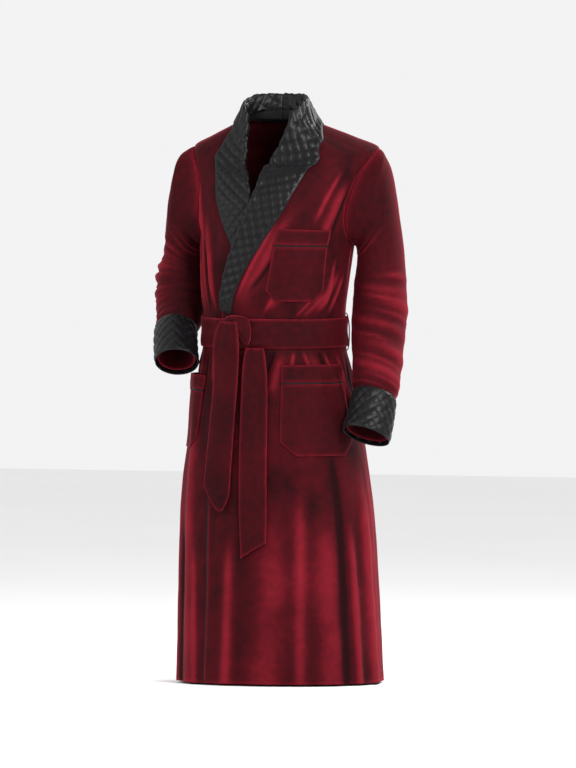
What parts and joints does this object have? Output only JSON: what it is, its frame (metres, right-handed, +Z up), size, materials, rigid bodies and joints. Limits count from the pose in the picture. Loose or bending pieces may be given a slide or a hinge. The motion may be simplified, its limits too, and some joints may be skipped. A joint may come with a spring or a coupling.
{
  "type": "full-length smoking jacket",
  "caption": "Full-length velvet smoking jacket with a quilted satin shawl collar and cuffs, patch pockets and a tied belt.",
  "frame": {"origin": "middle of the neck base, where the wearer carries the garment on neck and shoulders", "axes": "+Z up along the standing wearer, -Y the way the front faces, +X towards the wearer's left"},
  "size_m": [0.6177, 0.3809, 1.3797],
  "materials": {
    "velvet": "burgundy velvet pile",
    "satin": "black quilted satin",
    "piping": "black cord"
  },
  "bodies": {
    "root": {"back": "velvet", "front_left": "velvet", "front_right": "velvet", "sleeve_left": "velvet", "sleeve_right": "velvet", "breast_pocket": "velvet", "breast_band": "velvet", "pocket_left": "velvet", "band_left": "velvet", "pocket_right": "velvet", "band_right": "velvet", "belt_band": "velvet", "belt_knot": "velvet", "belt_end_left": "velvet", "belt_end_right": "velvet", "belt_loop_left": "velvet", "belt_loop_right": "velvet", "collar_left": "satin", "collar_right": "satin", "cuff_left": "satin", "cuff_right": "satin", "breast_piping": "piping", "piping_left": "piping", "piping_right": "piping", "front_piping": "piping"}
  },
  "joints": []
}
